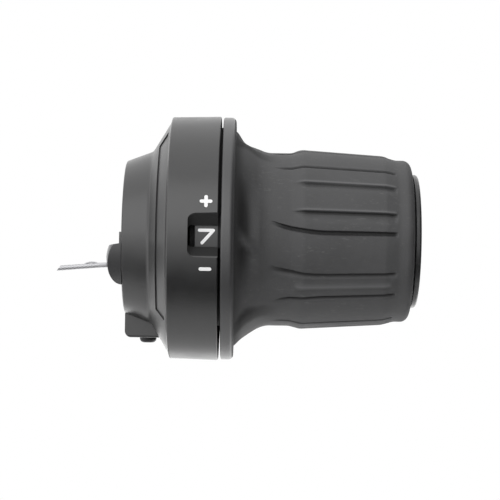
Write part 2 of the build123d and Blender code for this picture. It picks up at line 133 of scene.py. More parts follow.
# %% [markdown]
# To the eye the surround is plain white. The Light Path node tells the rays that come straight from the
# camera from those that the part sends on, and each kind gets its own background.

# %% White to the eye
seen = tree.nodes.new("ShaderNodeBackground")
seen.inputs["Color"].default_value = (1.0, 1.0, 1.0, 1.0)
ray = tree.nodes.new("ShaderNodeLightPath")
direct = tree.nodes.new("ShaderNodeMath")
direct.operation = "MAXIMUM"
tree.links.new(ray.outputs["Is Camera Ray"], direct.inputs[0])
tree.links.new(ray.outputs["Is Transmission Ray"], direct.inputs[1])
choice = tree.nodes.new("ShaderNodeMixShader")
tree.links.new(direct.outputs[0], choice.inputs[0])
tree.links.new(studio.outputs[0], choice.inputs[1])
tree.links.new(seen.outputs[0], choice.inputs[2])
sky = tree.nodes.new("ShaderNodeOutputWorld")
tree.links.new(choice.outputs[0], sky.inputs["Surface"])
print("world nodes:", len(tree.nodes))


# %% [markdown]
# ## Lamps
# A wide soft box stands in front above the camera and another hangs overhead, so the upper halves of the
# round forms shine evenly. One behind draws the edges, a low strip at the side shines in the boss, and a
# card below lights the undersides. Area lamps are used because point lamps would leave small hard glints.

# %% Lamps
def soft_box(name, place, width, height, power):
    """Flat lamp, turned to the middle of the part. Place, width and height are in metres."""
    lamp = bpy.data.lights.new(name, "AREA")
    lamp.shape = "RECTANGLE"
    lamp.size = width
    lamp.size_y = height
    lamp.energy = power
    stand = bpy.data.objects.new(name, lamp)
    scene.collection.objects.link(stand)
    stand.location = place
    stand.rotation_euler = (aim - stand.location).to_track_quat("-Z", "Y").to_euler()
    stand.visible_camera = False
    print(name, "watts:", power)


soft_box("front_box", place=(-0.4, -0.77, 0.45), width=1.25, height=0.9, power=3.3)
soft_box("overhead_box", place=(-0.12, 0.05, 0.8), width=0.9, height=0.9, power=0.5)
soft_box("back_box", place=(0.05, 0.7, 0.3), width=0.6, height=0.6, power=0.1)
soft_box("side_strip", place=(-0.75, -0.3, -0.02), width=0.5, height=0.12, power=0.25)
soft_box("under_card", place=(0.06, 0.17, -0.14), width=0.3, height=0.3, power=0.24)


# %% [markdown]
# ## Surfaces from grids
# Each surface made here is a grid of points: rows along a line, columns round it. Neighbouring points make
# four-sided faces, found with array indices. A negative volume means that the faces look inward, so the
# order of their corners is turned round. Pieces could be modelled by hand instead, but a formula is quick
# to change and keeps to the sizes of the frame.

# %% Mesh from grids
merge_distance = 1e-7


def outward_faces(grid):
    """Point numbers of a grid's four-sided faces, turned outward by the sign of the volume inside them."""
    rows, columns = grid.shape[:2]
    index = np.arange(rows * columns).reshape(rows, columns)
    index = np.hstack([index, index[:, :1]])
    corners = (index[:-1, :-1], index[:-1, 1:], index[1:, 1:], index[1:, :-1])
    quads = np.stack(corners, axis=-1).reshape(-1, 4)
    flat = grid.reshape(-1, 3)
    middle = flat.mean(axis=0)
    a, b, c, d = (flat[quads[:, corner]] - middle for corner in range(4))
    volume = np.sum(a * np.cross(b, c)) + np.sum(a * np.cross(c, d))
    return quads if volume > 0 else quads[:, ::-1]


def lay_grids(name, grids, sharp_angle=40.0, masks=None):
    """One mesh piece from grids (rows, columns, 3), each closed round its columns, poles merged.

    Each mask gives the points a value from 0 to 1, which a material can read by its name.
    """
    points = np.concatenate([grid.reshape(-1, 3) for grid in grids]) * MM
    starts = np.cumsum([0] + [grid[..., 0].size for grid in grids])
    faces = [start + outward_faces(grid) for start, grid in zip(starts, grids)]
    quads = np.concatenate(faces).astype(np.int32)
    mesh = bpy.data.meshes.new(name)
    mesh.vertices.add(len(points))
    mesh.vertices.foreach_set("co", points.astype(np.float32).ravel())
    mesh.loops.add(quads.size)
    mesh.loops.foreach_set("vertex_index", quads.ravel())
    mesh.polygons.add(len(quads))
    mesh.polygons.foreach_set("loop_start", np.arange(0, quads.size, 4, dtype=np.int32))
    mesh.update(calc_edges=True)
    for title, mask in (masks or {}).items():
        stored = mesh.attributes.new(title, "FLOAT", "POINT")
        stored.data.foreach_set("value", mask.astype(np.float32).ravel())
    merged = bmesh.new()
    merged.from_mesh(mesh)
    bmesh.ops.remove_doubles(merged, verts=merged.verts, dist=merge_distance)
    merged.to_mesh(mesh)
    merged.free()
    mesh.polygons.foreach_set("use_smooth", np.ones(len(mesh.polygons), dtype=bool))
    mesh.set_sharp_from_angle(angle=math.radians(sharp_angle))
    piece = bpy.data.objects.new(name, mesh)
    scene.collection.objects.link(piece)
    print(name, "faces:", len(mesh.polygons))
    return piece


def capped(grid):
    """Grid with a first and a last row drawn in to a point, so that its ends are closed."""
    first = np.broadcast_to(grid[:1].mean(axis=1, keepdims=True), grid[:1].shape)
    last = np.broadcast_to(grid[-1:].mean(axis=1, keepdims=True), grid[-1:].shape)
    return np.concatenate([first, grid, last])


# %% [markdown]
# ## Small formulas
# Soft relief is put together from a few curves: a step with soft ends, a plateau between two such steps,
# and a bell. Points are placed by their angle round the bar, because nearly everything here is turned.

# %% Curves and places
def around(x, radius, angle):
    """Points at a place along the bar, at a radius and an angle, counted from -Y upward."""
    turn = np.radians(angle)
    return np.stack(np.broadcast_arrays(x, -radius * np.cos(turn), radius * np.sin(turn)), axis=-1)


def wrapped(angle, period):
    """Angle brought between minus half a period and plus half a period."""
    return (angle + period / 2) % period - period / 2


def rise(low, high, value):
    """0 below low and 1 above high, with t * t * (3 - 2 t) between them."""
    t = np.clip((value - low) / (high - low), 0.0, 1.0)
    return t * t * (3.0 - 2.0 * t)


def plateau(start, full, fade, end, value):
    """Rises from 0 at start to 1 at full, and falls from 1 at fade to 0 at end."""
    return rise(start, full, value) * (1.0 - rise(fade, end, value))


def bell(value, middle, width, power=2):
    """exp(-((value - middle) / width) ** power): 1 in the middle, falling off to both sides."""
    return np.exp(-(((value - middle) / width) ** power))


# %% [markdown]
# A profile is a line with rounded corners. Blender's Bevel modifier could round them later, but a line that
# already has its arcs can carry points at an even step, which the relief needs.

# %% Rounded line
def distance_along(line):
    """Distance from the first point to each point of a line, the sum of the runs before it."""
    return np.concatenate([[0.0], np.cumsum(np.linalg.norm(np.diff(line, axis=0), axis=1))])


def rounded_line(corners, step):
    """Line through (x, y, rounding) corners, each cut back by rounding * tan(turn / 2) for its arc.

    Arcs get two points a step, and points nearer than an eighth of a step are left out.
    """
    spots = np.array(corners)[:, :2]
    runs = np.diff(spots, axis=0)
    ways = runs / np.linalg.norm(runs, axis=1, keepdims=True)
    parts = [spots[:1]]
    for (x, y, rounding), before, after in zip(corners[1:-1], ways[:-1], ways[1:]):
        turn = math.atan2(before[0] * after[1] - before[1] * after[0], before @ after)
        start = np.array((x, y)) - before * rounding * math.tan(abs(turn) / 2)
        arm = math.copysign(rounding, turn) * np.array((before[1], -before[0]))
        count = 1 + math.ceil(abs(turn) * rounding / step * 2)
        sweep = np.linspace(0.0, turn, count)[:, None]
        side = np.array((-arm[1], arm[0]))
        parts.append(start - arm + arm * np.cos(sweep) + side * np.sin(sweep))
    line = np.concatenate(parts + [spots[-1:]])
    along = distance_along(line)
    stations = np.union1d(along, np.arange(0.0, along[-1], step))
    stations = stations[np.insert(np.diff(stations) > step / 8, 0, True)]
    return np.stack([np.interp(stations, along, line[:, axis]) for axis in (0, 1)], axis=-1)


# %% [markdown]
# ## Grip rubber: its profile
# The real grip is one rubber moulding: a flange beside the drum, a flare with swirled hollows, a waist and
# long pads between grooves. Booleans on a solid leave hard edges, so here the turned profile is sampled and
# every relief is a smooth change of its height.

# %% Profile of the rubber
rubber_low, rubber_high = np.array(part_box("grip_rubber")) / MM
x_flange = rubber_low[0]
x_end = rubber_high[0]
x_flare = x_flange + 2.85
x_waist = x_flange + 9.1
x_waist_end = x_waist + 6.3
x_pads = x_waist + 8.9
x_pads_end = x_end - 6.4
x_collar = x_end - 3.4
flange_radius = rubber_high[2]
foot_radius = flange_radius - 3.1
disc_radius = 25.58
core_radius = 15.55
waist_radius = 19.81
pad_radius = waist_radius + 0.65
pad_end_radius = pad_radius - 1.15
collar_radius = pad_end_radius - 0.8
rubber_step = 0.34
skin_line = rounded_line(
    [
        (x_flange, disc_radius, 0.0),
        (x_flange, flange_radius, 0.35),
        (x_flare, flange_radius, 1.1),
        (x_flare, foot_radius, 0.4),
        (x_waist, waist_radius, 6.0),
        (x_waist_end, waist_radius, 4.0),
        (x_pads, pad_radius, 4.0),
        (x_pads_end, pad_end_radius, 4.0),
        (x_collar, collar_radius, 4.0),
        (x_end, collar_radius, 1.8),
        (x_end, core_radius, 0.0),
    ],
    rubber_step,
)
x_rows = skin_line[:, :1]
x_core_flange = x_flange + 2.6
x_disc = x_flange + 1.3
seat_line = np.array([(x_waist, core_radius), (x_core_flange, waist_radius), (x_disc, disc_radius)])
print("rows along the skin:", len(skin_line))

# %% [markdown]
# ## Grip rubber: its columns
# Six grooves make a block, and three blocks go round the bar. A list holds one value for each groove of a
# block, from the top one down. The columns crowd together where a groove runs, and bend with the grooves'
# led-in ends, so that each groove stays on its own columns and needs no finer grid elsewhere.

# %% Columns of the rubber
block_count = 3
block_angle = 360.0 / block_count
groove_angle = np.array([52.0, 37.0, 16.5, 4.0, -23.5, -40.0])
groove_turn = np.array([0.4, 0.0, 0.0, 6.0, 4.5, -4.1])
crowding = 7.0
crowd_width = 2.6
rubber_columns = 360
fine_columns = 7201
lead_length = 12.1
x_straight = x_pads + 5.5
turns = np.arange(block_count) * block_angle
all_angles = (groove_angle[None] + turns[:, None]).ravel()
fine = np.linspace(-180.0, 180.0, fine_columns)
apart = np.abs(wrapped(fine[:, None] - all_angles[None], 360.0))
density = 1.0 + crowding * bell(apart.min(axis=1), 0.0, crowd_width)
share = np.cumsum(density) / density.sum()
columns = np.interp(np.arange(rubber_columns) / rubber_columns, share, fine)
order = np.argsort(all_angles)
swing = np.interp(columns, all_angles[order], np.tile(groove_turn, block_count)[order], period=360.0)
lead_in = np.clip((x_straight - x_rows) / lead_length, 0.0, 1.0)
angle_grid = columns[None] + swing[None] * lead_in ** 2
print("columns round the rubber:", len(columns))

# %% [markdown]
# ## Grip rubber: its grooves
# Going down across a groove, the wall falls steeply and the floor climbs back: fast for a narrow groove,
# slowly where one pad dips under the next. Three have a raised lip above them; the two taller ones get a
# painted highlight, and a groove's inside gets painted shade. So the height comes with two masks for these.

# %% Grooves of the rubber
groove_start = np.array([34.0, 38.2, 38.0, 33.4, 32.8, 34.0])
groove_depth = np.array([0.5, 0.55, 0.65, 0.85, 0.7, 0.75])
groove_floor = np.array([0.2, 0.2, 0.3, 0.5, 0.45, 0.5])
groove_climb = np.array([0.5, 1.6, 2.0, 0.45, 0.8, 0.5])
groove_lip = np.array([0.04, 0.12, 0.16, 0.0, 0.0, 0.0])
groove_shade = np.array([0.6, 0.4, 0.85, 1.0, 1.0, 1.0])
lip_unlit, lip_lit = 0.05, 0.12
lip_highlight = rise(lip_unlit, lip_lit, groove_lip)
lead_before, lead_after = 1.0, 3.5
x_fade, x_fade_end = x_collar - 1.1, x_collar - 0.4
wall_top, wall_foot = -0.22, 0.1
lip_middle, lip_width = -0.45, 0.28
highlight_middle, highlight_width = -0.42, 0.22
shade_top, shade_foot, shade_fade = -0.3, 0.0, 0.4
height = np.zeros(angle_grid.shape)
painted_relief_shade = np.zeros(angle_grid.shape)
painted_highlight = np.zeros(angle_grid.shape)
groove_sizes = (groove_angle, groove_start, groove_depth, groove_floor, groove_climb, groove_lip)
for angle, start, depth, floor, climb, lip, shade, highlight in zip(*groove_sizes, groove_shade, lip_highlight):
    down = np.radians(wrapped(angle - columns, block_angle))[None] * waist_radius
    reach = plateau(start - lead_before, start + lead_after, x_fade, x_fade_end, x_rows)
    fall = plateau(wall_top, wall_foot, floor, floor + climb, down)
    height += (lip * bell(down, lip_middle, lip_width) - depth * fall) * reach
    # Painted highlight on the taller lips, and painted shade inside the groove.
    painted_highlight += highlight * bell(down, highlight_middle, highlight_width) * reach
    painted_relief_shade += shade * plateau(shade_top, shade_foot, floor, floor + shade_fade, down) * reach
print("deepest groove in mm:", round(-height.min(), 2))

# %% [markdown]
# Between the two lowest grooves lies a long bead. Its height is a bell less a wider, flatter one, so that it
# rises from a shallow trough. Its ridge gets a painted highlight and its flanks painted shade.

# %% Bead of the rubber
bead_angle = -32.0
bead_span = (x_pads - 2.2, x_pads - 0.8, x_collar - 2.4, x_collar - 1.2)
bead_height, bead_width = 0.45, 1.1
trough_depth, trough_width = 0.28, 2.4
ridge_up, ridge_width = 0.1, 0.6
flank_away, flank_width, flank_shade = 1.2, 0.45, 0.4
across = np.radians(wrapped(columns - bead_angle, block_angle))[None] * waist_radius
bead_reach = plateau(*bead_span, x_rows)
crown = bead_height * bell(across, 0.0, bead_width) - trough_depth * bell(across, 0.0, trough_width, 4)
height += crown * bead_reach
# Painted highlight on the ridge, and painted shade on the flanks.
painted_highlight += bell(across, ridge_up, ridge_width, 4) * bead_reach
painted_relief_shade += flank_shade * bell(np.abs(across - ridge_up), flank_away, flank_width) * bead_reach
print("bead height in mm:", round(crown.max(), 2))

# %% [markdown]
# ## Grip rubber: the flare
# Hollows sit between the flange and the waist. A short one deepens downward and stops at a leaning tongue.
# A long one starts with a steep step under the tongue, grows shallow and ends at a soft crease. Places
# along the bar are counted from the flange, and angles are those of the block that faces the window.

# %% Hollows of the flare
short_depth, long_depth = 1.7, 1.6
block_foot = -70.0
dip_span = (0.2, 2.1, 2.2, 5.8)
tongue_angle, tongue_lean = 1.5, 2.2
short_wall, short_end = 8.5, 46.0
step_foot, step_top = 4.5, 0.3
crease_place = [0.0, 0.7, 2.85, 11.5]
crease_angle = [-58.0, -56.0, -52.0, -56.0]
crease_width = 8.0
shallow_share, shallow_low, shallow_high = 0.6, -45.0, -15.0
from_flange = x_rows - x_flare
turn_down = (angle_grid - block_foot) % block_angle + block_foot
dip = plateau(*dip_span, from_flange)
tongue = tongue_angle - tongue_lean * from_flange
crease = np.interp(from_flange, crease_place, crease_angle)
short = plateau(tongue, tongue + short_wall, tongue + short_wall, short_end, turn_down)
long = plateau(crease, crease + crease_width, tongue - step_foot, tongue - step_top, turn_down)
long = long * (shallow_share + (1.0 - shallow_share) * rise(shallow_low, shallow_high, turn_down))
hollow = dip * (short_depth * short + long_depth * long)
print("deepest hollow in mm:", round(hollow.max(), 2))

# %% [markdown]
# On the real grip the bottom of a hollow lies in shade, but a studio that is white all round fills it with
# light. So a mask paints shade on what lies deep: the hollows, a shadow beside the flange, a band along the
# crease, and the grooves. Deeper hollows would be darker too, but would no longer keep to the form of the
# solid.

# %% Painted shade in the flare
short_shade, beside_shade, crease_shade, groove_share = 1.3, 0.7, 0.85, 0.9
long_foot, long_top = -42.0, 4.0
beside_span = (-0.15, 0.1, 0.3, 2.2)
shade_from, shade_to = 2.0, 5.0
band_span = (-9.0, -4.0, 3.0, 7.0)
band_reach = (0.0, 0.6, 3.5, 11.0)
# Painted shade in the hollows, and a painted shadow beside the flange.
hollow_painted_shade = dip * (short_shade * short + long * rise(long_foot, tongue - long_top, turn_down))
hollow_painted_shade = hollow_painted_shade + beside_shade * plateau(*beside_span, from_flange)
hollow_painted_shade = hollow_painted_shade * (1.0 - rise(shade_from, shade_to, from_flange))
band = plateau(*(crease + place for place in band_span), turn_down) * plateau(*band_reach, from_flange)
painted_shade = np.clip(hollow_painted_shade + crease_shade * band + groove_share * painted_relief_shade, 0.0, 1.0)
print("share of the rubber in shade:", round(painted_shade.mean(), 3))

# %% [markdown]
# The grooves' height is added along the normal of the profile, and the hollows are sunk towards the bar. The
# inner side is a plain seat that nobody sees, so three rows are enough for it.

# %% Mesh of the rubber
rubber_sharp = 50.0
slope = np.gradient(skin_line, axis=0)
slope /= np.linalg.norm(slope, axis=1, keepdims=True)
skin_x = x_rows - slope[:, 1:] * height
skin_radius = skin_line[:, 1:] + slope[:, :1] * height - hollow
skin = around(skin_x, skin_radius, angle_grid)
seat = around(seat_line[:, :1], seat_line[:, 1:], columns[None])
unseen = np.zeros(seat.shape[:2])
# The masks carry the painted shade and the painted highlight to the rubber's material.
rubber_masks = {
    "painted_shade": np.concatenate([painted_shade, unseen, painted_shade[:1]]),
    "painted_highlight": np.concatenate([painted_highlight, unseen, painted_highlight[:1]]),
}
grip_skin = lay_grids("grip_skin", [np.concatenate([skin, seat, skin[:1]])], rubber_sharp, rubber_masks)
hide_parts("grip_rubber")
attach(grip_skin, "grip")


# %% [markdown]
# ## Printed numbers and signs
# The pads carry white numbers, the highest gear in the window at rest, and the drum has a plus and a minus
# beside the window. Text from a font could be bent round the drum, but a flat brush stroke is simpler: a
# thin strip of ink that follows a line on the cylinder.

# %% Ink strokes
ink_thickness = 0.04
ink_step = 0.12
ink_layer = 0.01
end_points = 7


def stroke(points, width, place_x, place_angle, radius, level):
    """Ink strip with half-round ends: half width * sqrt(1 - t * t) over the last half width of the line.

    It is wrapped round the bar, so that a height divided by the radius is an angle.
    """
    line = np.array(points, dtype=float)
    along = distance_along(line)
    half = width / 2
    ends = half * (1.0 - np.cos(np.linspace(0.0, math.pi / 2, end_points)))
    middle = np.linspace(half, along[-1] - half, 2 + int(along[-1] / ink_step))[1:-1]
    stations = np.concatenate([ends, middle, along[-1] - ends[::-1]])
    line = np.stack([np.interp(stations, along, line[:, axis]) for axis in (0, 1)], axis=-1)
    way = np.gradient(line, stations, axis=0)
    way /= np.linalg.norm(way, axis=1, keepdims=True)
    side = np.stack([-way[:, 1], way[:, 0]], axis=-1)[:, None]
    short = np.clip(1.0 - np.minimum(stations, along[-1] - stations) / half, 0.0, 1.0)
    reach = half * np.sqrt(1.0 - short ** 2)
    across = np.array([-1.0, 1.0, 1.0, -1.0])[None, :, None] * reach[:, None, None]
    flat = line[:, None] + side * across
    high = radius + level + np.array([0.0, 0.0, 1.0, 1.0]) * ink_thickness
    angle = place_angle + np.degrees(flat[..., 1] / radius)
    return capped(around(place_x + flat[..., 0], high[None], angle))


def smooth(points, rounds=3):
    """Corner cutting: each run keeps its points at 1/4 and 3/4, and the line keeps its two ends."""
    line = np.array(points, dtype=float)
    for _ in range(rounds):
        near = line[:-1] * 0.75 + line[1:] * 0.25
        far = line[:-1] * 0.25 + line[1:] * 0.75
        line = np.concatenate([line[:1], np.stack([near, far], axis=1).reshape(-1, 2), line[-1:]])
    return line


# %% [markdown]
# Each number is one to three strokes in a box about two units wide and two high. Curved ones are rounded by
# corner cutting, straight ones stay sharp. Each stroke lies on a layer of its own, so that none flickers
# where two cross.

# %% Numbers
bowl = [(-0.9, 0.5), (-0.9, 1.0), (0.9, 1.05), (1.0, 0.2), (0.1, -0.2), (-0.95, -1.0)]
loop = [(0.8, 1.1), (-1.0, 1.3), (-1.0, -1.3), (1.0, -1.25), (1.0, 0.3), (-0.8, 0.3), (-0.8, -0.4)]
figures = {
    1: [[(-0.5, 0.55), (0.15, 0.95)], [(0.15, 1.2), (0.15, -1.2)]],
    2: [smooth(bowl), [(-1.1, -1.0), (1.0, -1.0)]],
    3: [
        smooth([(-0.9, 0.7), (-0.8, 1.05), (0.9, 1.1), (0.9, 0.05), (-0.2, 0.1)]),
        smooth([(-0.2, 0.1), (1.05, 0.1), (1.05, -1.1), (-0.8, -1.05), (-0.95, -0.6)]),
    ],
    4: [[(0.45, -1.2), (0.45, 1.2)], [(0.45, 1.0), (-0.9, -0.4)], [(-1.0, -0.4), (1.0, -0.4)]],
    5: [
        [(0.9, 1.0), (-0.85, 1.0)],
        [(-0.75, 1.15), (-0.8, 0.05)],
        smooth([(-0.8, 0.2), (0.9, 0.6), (1.1, -1.1), (-0.7, -1.15), (-1.0, -0.55)]),
    ],
    6: [smooth(loop)],
    7: [[(-1.27, 1.0), (1.27, 1.0)], [(1.05, 1.0), (-0.78, -1.28)]],
}
figure_size = np.array([1.45, 1.3])
figure_stroke = 0.68
figure_x = 18.97
figure_drop = 0.5
click_angle = 12.5
number_radius = -np.array(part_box("gear_indicator"))[0][1] / MM
ink = []
for number, strokes in figures.items():
    for layer, line in enumerate(strokes):
        shape = np.array(line) * figure_size
        angle = (len(figures) - number) * click_angle - figure_drop
        ink.append(stroke(shape, figure_stroke, figure_x, angle, number_radius, ink_layer * layer))
gear_numbers = lay_grids("gear_numbers", ink)
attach(gear_numbers, "grip")

# %% [markdown]
# The signs tell which way to turn for a higher or a lower gear. They sit on the drum itself, so they stay
# where they are when the grip turns.

# %% Signs
sign_x = 18.83
sign_angle = 15.1
sign_half = 1.37
sign_stroke = 0.76
drum_radius = np.array(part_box("main_housing"))[1][2] / MM
bar_line = [(-sign_half, 0.0), (sign_half, 0.0)]
post_line = [(0.0, -sign_half), (0.0, sign_half)]
sign_ink = [
    stroke(bar_line, sign_stroke, sign_x, sign_angle, drum_radius, 0.0),
    stroke(post_line, sign_stroke, sign_x, sign_angle, drum_radius, ink_layer),
    stroke(bar_line, sign_stroke, sign_x, -sign_angle, drum_radius, 0.0),
]
twist_signs = lay_grids("twist_signs", sign_ink)
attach(twist_signs, "housing")

# %% [markdown]
# ## Clamp screw
# The screw's tip shows under the clamp ear, so it gets a thread: the radius falls and rises along a helix
# of one pitch a turn. A Screw modifier could wind a profile instead, but then tip and head would be pieces
# apart.

# %% Shank and tip of the screw
screw_low, screw_high = np.array(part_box("clamp_screw")) / MM
screw_centre = (screw_low + screw_high) / 2
tip_z, top_z = screw_low[2], screw_high[2]
head_height = 4.0
seat_z = top_z - head_height
shank_radius = 2.0
head_radius = (screw_high[0] - screw_low[0]) / 2
tip_round = 1.0
pitch = 0.7
rows_a_pitch = 9
thread_depth = 0.34
thread_slope, thread_flat = 2.6, 0.25
seat_gap = 0.02
tip_step = 0.2
screw_columns = 72
screw_turn = np.linspace(0.0, 360.0, screw_columns, endpoint=False)[None]
shank_z = np.arange(tip_z + tip_round, seat_z - seat_gap, pitch / rows_a_pitch)[:, None]
phase = (shank_z / pitch - screw_turn / 360.0) % 1.0
thread = thread_depth * np.clip(np.abs(phase - 0.5) * thread_slope - thread_flat, 0.0, 1.0)
thread = thread * rise(tip_z + tip_round, tip_z + 2 * tip_round, shank_z)
tip_corners = [(0.0, tip_z, 0.0), (shank_radius, tip_z, tip_round), (shank_radius, shank_z[0, 0], 0.0)]
tip = rounded_line(tip_corners, tip_step)[:-1]
print("rows of thread:", len(shank_z))

# %% [markdown]
# The head keeps its socket for a key: a ring whose radius follows a hexagon, half width / cos(angle from the
# middle of a side). Tip, shank, head and socket are rows of one grid.

# %% Head and mesh of the screw
key_half = 1.5
key_rim = key_half + 0.35
key_lead = 0.2
key_depth = 2.0
key_floor = 0.02
head_step = 0.25
screw_sharp = 32.0
head = rounded_line(
    [
        (shank_radius, seat_z, 0.0),
        (head_radius, seat_z, 0.2),
        (head_radius, top_z, 0.4),
        (key_rim, top_z, 0.1),
        (key_rim, top_z - key_lead, 0.0),
    ],
    head_step,
)
hexagon = key_half / np.cos(np.radians(wrapped(screw_turn, 60.0)))
key_z = top_z - np.array([key_lead, key_depth, key_depth])[:, None]
key_share = np.array([1.0, 1.0, key_floor])[:, None]
ring_radius = np.concatenate(
    [
        np.broadcast_to(tip[:, :1], (len(tip), screw_turn.size)),
        shank_radius - thread,
        np.broadcast_to(head[:, :1], (len(head), screw_turn.size)),
        hexagon * key_share,
    ]
)
ring_x = screw_centre[0] + ring_radius * np.cos(np.radians(screw_turn))
ring_y = screw_centre[1] + ring_radius * np.sin(np.radians(screw_turn))
ring_z = np.concatenate([tip[:, 1:], shank_z, head[:, 1:], key_z])
screw_grid = np.stack(np.broadcast_arrays(ring_x, ring_y, ring_z), axis=-1)
threaded_screw = lay_grids("threaded_screw", [capped(screw_grid)], screw_sharp)
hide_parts("clamp_screw")
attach(threaded_screw, "housing")

# %% [markdown]
# ## Wire: its route
# The shift wire is anchored in the spool, wraps part of it, bends in its guide and leaves by the boss, where
# a bare end is cut off short. The route is worked out from the same few sizes as the solid: straight lines
# and arcs, each starting where the one before ends.

# %% Route of the wire
spool_radius = 14.24
bend_radius = 5.0
x_wire = 14.65
wire_drop = 6.6
wrap_angle = 30.0
anchor_run = 3.5
mouth_x = -4.05
stub_length = 9.95
stub_tilt = math.radians(5.0)
stub_round = 20.0
wire_step = 0.16
lead_points, wrap_points, bend_points = 20, 46, 48
run_angle = -math.degrees(math.asin(wire_drop / math.hypot(spool_radius, bend_radius)))
touch_angle = run_angle - math.degrees(math.atan(bend_radius / spool_radius))
anchor_angle = touch_angle - wrap_angle


def outward(angle):
    """Unit direction away from the bar at an angle."""
    return around(0.0, 1.0, angle)


def wire_turn(angle):
    """Unit direction in which the grip's surface moves at an angle."""
    return -outward(np.asarray(angle) + 90.0)


anchor = around(x_wire, spool_radius, anchor_angle)
lead_run = np.linspace(anchor_run, 0.0, lead_points, endpoint=False)[:, None]
lead = anchor + wire_turn(anchor_angle) * lead_run
wrap_angles = np.linspace(anchor_angle, touch_angle, wrap_points, endpoint=False)
wrap = around(x_wire, spool_radius, wrap_angles)
bend_turn = np.linspace(0.0, math.pi / 2, bend_points, endpoint=False)[:, None]
bend_centre = around(x_wire - bend_radius, spool_radius, touch_angle)
along_bar = np.array((1.0, 0.0, 0.0))
back = -wire_turn(touch_angle)
bend = bend_centre + bend_radius * (along_bar * np.cos(bend_turn) + back * np.sin(bend_turn))
exit_point = bend_centre + bend_radius * back
drop = np.array((-math.cos(stub_tilt), -math.sin(stub_tilt)))
stub_end = np.array((mouth_x, exit_point[2])) + drop * stub_length
stub_corners = [
    (exit_point[0], exit_point[2], 0.0),
    (mouth_x, exit_point[2], stub_round),
    (*stub_end, 0.0),
]
stub = rounded_line(stub_corners, wire_step)
stub = np.stack([stub[:, 0], np.full(len(stub), exit_point[1]), stub[:, 1]], axis=-1)
route = np.concatenate([lead, wrap, bend, stub])
along = distance_along(route)[:, None]
print("wire length in mm:", round(along[-1, 0], 1))

# %% [markdown]
# ## Wire: its strands
# Twelve fine strands are wound round the wire, so its section is a circle with twelve rounds that turn as it
# goes along: wire radius * (1 - relief + relief * sqrt(|cos(6 * turn)|)). A bevelled curve would be quicker,
# but would stay smooth. One strand has sprung loose near the boss.

# %% Strands of the wire
wire_radius = 0.55
strand_count = 12
strand_lay = 9.0
strand_relief = 0.17
wire_columns = 96
cut_depth, cut_length, cut_turn = 0.45, 0.8, 2.4
loose_from, loose_length = 1.3, 2.9
loose_lift, loose_bow = 0.5, 0.3
loose_radius = 0.17
loose_rows, loose_columns = 40, 10
wire_sharp = 60.0
turned_up = np.concatenate([np.broadcast_to(outward(anchor_angle), lead.shape), outward(wrap_angles)])
straight_up = np.broadcast_to(outward(touch_angle), (len(bend) + len(stub), 3))
up = np.concatenate([turned_up, straight_up])
way = np.gradient(route, axis=0)
way /= np.linalg.norm(way, axis=1, keepdims=True)
up = up - way * np.sum(up * way, axis=1, keepdims=True)
up /= np.linalg.norm(up, axis=1, keepdims=True)
side = np.cross(way, up)
round_turn = np.linspace(0.0, 2.0 * math.pi, wire_columns, endpoint=False)[None]
lobes = np.abs(np.cos(strand_count / 2 * (round_turn - along * 2.0 * math.pi / strand_lay)))
section = wire_radius * (1.0 - strand_relief + strand_relief * np.sqrt(lobes))
cut_slant = cut_depth * rise(along[-1] - cut_length, along[-1], along) * np.sin(round_turn + cut_turn)
wire_grid = (
    route[:, None]
    + up[:, None] * (section * np.cos(round_turn))[..., None]
    + side[:, None] * (section * np.sin(round_turn))[..., None]
    + way[:, None] * cut_slant[..., None]
)
loose = np.linspace(0.0, 1.0, loose_rows)[:, None]
loose_way = np.array((drop[0], 0.0, drop[1]))
loose_up = np.array((drop[1], 0.0, -drop[0]))
loose_side = np.array((0.0, 1.0, 0.0))
loose_start = np.array((mouth_x, exit_point[1], exit_point[2])) + loose_way * loose_from
loose_height = loose_lift + loose_bow * np.sin(math.pi * loose)
loose_route = loose_start + loose_way * loose_length * loose + loose_up * loose_height
loose_turn = np.linspace(0.0, 2.0 * math.pi, loose_columns, endpoint=False)[None, :, None]
loose_ring = loose_radius * (loose_up * np.cos(loose_turn) + loose_side * np.sin(loose_turn))
loose_grid = loose_route[:, None] + loose_ring
wire_strands = lay_grids("wire_strands", [capped(wire_grid), capped(loose_grid)], wire_sharp)
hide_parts("shift_cable")
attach(wire_strands, "housing")


# %% [markdown]
# ## Shared effects
# Moulded plastic and rubber have a fine even grain and a slow change of tone; handled rubber also holds a
# little dust, drawn out along the bar by wiping. Each effect is one node group that gives a value, and every
# material sets its own scale. An image texture could do the same, but would need a map of each surface.

# %% Node helpers
def new_group(name, inputs, outputs):
    """Empty shader group with value sockets of those names; returns the tree and its two end nodes."""
    group = bpy.data.node_groups.new(name, "ShaderNodeTree")
    for socket in inputs:
        group.interface.new_socket(socket, in_out="INPUT", socket_type="NodeSocketFloat")
    for socket in outputs:
        group.interface.new_socket(socket, in_out="OUTPUT", socket_type="NodeSocketFloat")
    return group, group.nodes.new("NodeGroupInput"), group.nodes.new("NodeGroupOutput")


def add_noise(group, scale, detail, roughness, draw_out=1.0):
    """Noise on Object coordinates, its scale read from a socket, drawn out along the bar by a factor."""
    place = group.nodes.new("ShaderNodeTexCoord")
    squeeze = group.nodes.new("ShaderNodeVectorMath")
    squeeze.operation = "MULTIPLY"
    squeeze.inputs[1].default_value = (1.0 / draw_out, 1.0, 1.0)
    group.links.new(place.outputs["Object"], squeeze.inputs[0])
    noise = group.nodes.new("ShaderNodeTexNoise")
    noise.inputs["Detail"].default_value = detail
    noise.inputs["Roughness"].default_value = roughness
    group.links.new(squeeze.outputs["Vector"], noise.inputs["Vector"])
    group.links.new(scale, noise.inputs["Scale"])
    return noise.outputs["Fac"]


def add_math(group, operation, first, second):
    """Math node of two terms, each a socket or a number."""
    node = group.nodes.new("ShaderNodeMath")
    node.operation = operation
    for slot, term in enumerate((first, second)):
        if isinstance(term, (int, float)):
            node.inputs[slot].default_value = term
        else:
            group.links.new(term, node.inputs[slot])
    return node.outputs[0]


